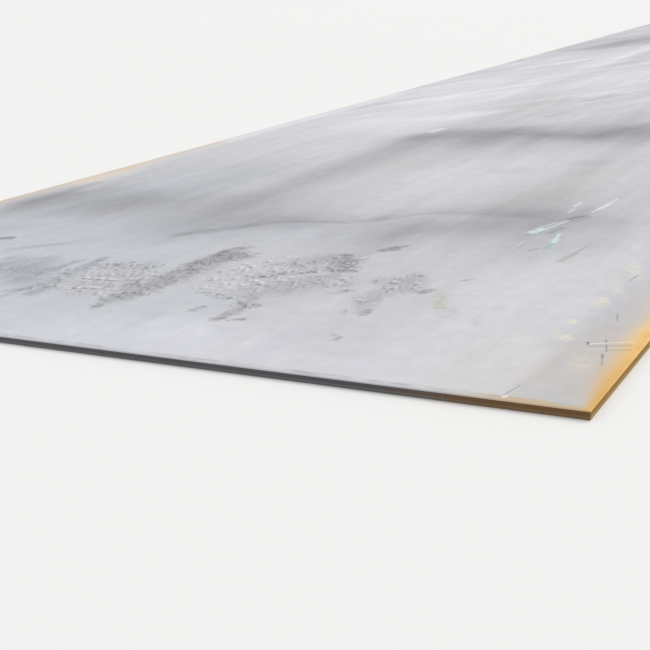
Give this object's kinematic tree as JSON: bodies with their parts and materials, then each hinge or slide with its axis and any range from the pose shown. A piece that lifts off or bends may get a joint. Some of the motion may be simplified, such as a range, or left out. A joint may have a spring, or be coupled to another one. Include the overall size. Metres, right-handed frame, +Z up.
{
  "type": "steel plate",
  "caption": "Flat rectangular plate of hot-rolled structural steel with sheared edges, sold as stock for cutting and welding.",
  "frame": {"origin": "middle of the underside, on the surface that the plate lies on", "axes": "+Y along the plate's length, +X across its width, +Z up out of the top face"},
  "size_m": [2.2, 10, 0.012],
  "materials": {
    "mill_steel": "pale weathered mill scale with light rust along the sheared edges"
  },
  "bodies": {
    "root": {"steel_plate": "mill_steel"}
  },
  "joints": []
}
